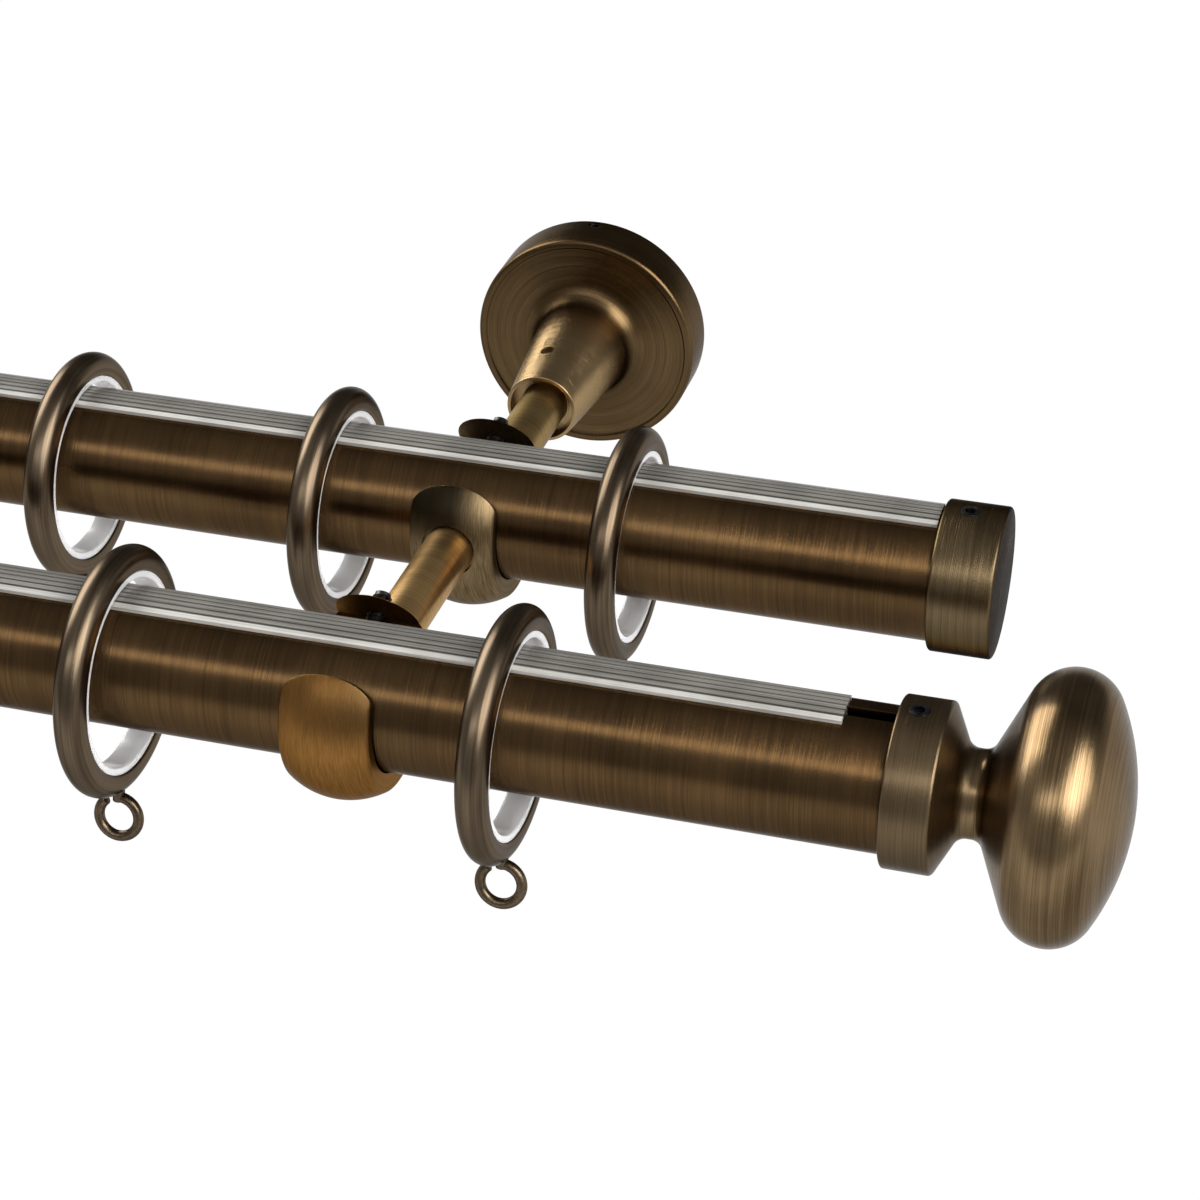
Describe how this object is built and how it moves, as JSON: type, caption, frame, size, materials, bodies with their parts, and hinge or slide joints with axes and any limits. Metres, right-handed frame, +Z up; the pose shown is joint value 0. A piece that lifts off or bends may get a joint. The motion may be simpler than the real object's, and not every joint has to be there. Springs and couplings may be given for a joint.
{
  "type": "double curtain pole",
  "caption": "Two parallel slotted curtain poles with glide strips on projecting wall brackets, one pole with knob finials, one with flat caps, and lined rings that slide.",
  "frame": {"origin": "centre of the right-hand bracket's wall face", "axes": "+X along the poles towards their right-hand end, +Y into the wall, +Z up"},
  "size_m": [1.0772, 0.194, 0.0664],
  "materials": {
    "pole_brass": "antique brass plating, brushed round the tube",
    "turned_brass": "antique brass, brushed round",
    "cast_brass": "antique brass, brushed",
    "bright_brass": "antique brass, brushed, less darkened",
    "ring_bronze": "dark antique brass, satin",
    "eyelet_bronze": "dark antique brass, satin",
    "liner_nylon": "white nylon",
    "strip_plastic": "clear grey ribbed plastic",
    "black_steel": "blackened steel",
    "plated_steel": "zinc plated steel"
  },
  "bodies": {
    "root": {"right_wall_plate": "plated_steel", "right_rose": "turned_brass", "right_rose_screws": "black_steel", "right_rear_stem": "bright_brass", "right_rear_cradle": "cast_brass", "right_front_stem": "bright_brass", "right_front_cradle": "cast_brass", "right_clamp_screws": "black_steel", "right_finial": "turned_brass", "right_end_cap": "turned_brass", "left_wall_plate": "plated_steel", "left_rose": "turned_brass", "left_rose_screws": "black_steel", "left_rear_stem": "bright_brass", "left_rear_cradle": "cast_brass", "left_front_stem": "bright_brass", "left_front_cradle": "cast_brass", "left_clamp_screws": "black_steel", "left_finial": "turned_brass", "left_end_cap": "turned_brass", "front_pole": "pole_brass", "rear_pole": "pole_brass", "front_glide_strip": "strip_plastic", "rear_glide_strip": "strip_plastic", "end_screws": "black_steel"},
    "right_rear_ring_1": {"right_rear_1_ring": "ring_bronze", "right_rear_1_liner": "liner_nylon", "right_rear_1_eyelet": "eyelet_bronze"},
    "left_rear_ring_1": {"left_rear_1_ring": "ring_bronze", "left_rear_1_liner": "liner_nylon", "left_rear_1_eyelet": "eyelet_bronze"},
    "right_rear_ring_2": {"right_rear_2_ring": "ring_bronze", "right_rear_2_liner": "liner_nylon", "right_rear_2_eyelet": "eyelet_bronze"},
    "left_rear_ring_2": {"left_rear_2_ring": "ring_bronze", "left_rear_2_liner": "liner_nylon", "left_rear_2_eyelet": "eyelet_bronze"},
    "right_rear_ring_3": {"right_rear_3_ring": "ring_bronze", "right_rear_3_liner": "liner_nylon", "right_rear_3_eyelet": "eyelet_bronze"},
    "left_rear_ring_3": {"left_rear_3_ring": "ring_bronze", "left_rear_3_liner": "liner_nylon", "left_rear_3_eyelet": "eyelet_bronze"},
    "right_front_ring_1": {"right_front_1_ring": "ring_bronze", "right_front_1_liner": "liner_nylon", "right_front_1_eyelet": "eyelet_bronze"},
    "left_front_ring_1": {"left_front_1_ring": "ring_bronze", "left_front_1_liner": "liner_nylon", "left_front_1_eyelet": "eyelet_bronze"},
    "right_front_ring_2": {"right_front_2_ring": "ring_bronze", "right_front_2_liner": "liner_nylon", "right_front_2_eyelet": "eyelet_bronze"},
    "left_front_ring_2": {"left_front_2_ring": "ring_bronze", "left_front_2_liner": "liner_nylon", "left_front_2_eyelet": "eyelet_bronze"}
  },
  "joints": [
    {"name": "slide_right_rear_ring_1", "type": "slide", "parent": "root", "child": "right_rear_ring_1", "axis": [1, 0, 0], "range_m": [-0.0211, 0.06304]},
    {"name": "slide_left_rear_ring_1", "type": "slide", "parent": "root", "child": "left_rear_ring_1", "axis": [1, 0, 0], "range_m": [-0.06304, 0.0211]},
    {"name": "slide_right_rear_ring_2", "type": "slide", "parent": "root", "child": "right_rear_ring_2", "axis": [1, 0, 0], "range_m": [-0.0247, 0.0187]},
    {"name": "slide_left_rear_ring_2", "type": "slide", "parent": "root", "child": "left_rear_ring_2", "axis": [1, 0, 0], "range_m": [-0.0187, 0.0247]},
    {"name": "slide_right_rear_ring_3", "type": "slide", "parent": "root", "child": "right_rear_ring_3", "axis": [1, 0, 0], "range_m": [-0.2895, 0.0247]},
    {"name": "slide_left_rear_ring_3", "type": "slide", "parent": "root", "child": "left_rear_ring_3", "axis": [1, 0, 0], "range_m": [-0.0247, 0.2895]},
    {"name": "slide_right_front_ring_1", "type": "slide", "parent": "root", "child": "right_front_ring_1", "axis": [1, 0, 0], "range_m": [-0.0184, 0.0716]},
    {"name": "slide_left_front_ring_1", "type": "slide", "parent": "root", "child": "left_front_ring_1", "axis": [1, 0, 0], "range_m": [-0.0716, 0.0184]},
    {"name": "slide_right_front_ring_2", "type": "slide", "parent": "root", "child": "right_front_ring_2", "axis": [1, 0, 0], "range_m": [-0.3319, 0.0371]},
    {"name": "slide_left_front_ring_2", "type": "slide", "parent": "root", "child": "left_front_ring_2", "axis": [1, 0, 0], "range_m": [-0.0371, 0.3319]}
  ]
}
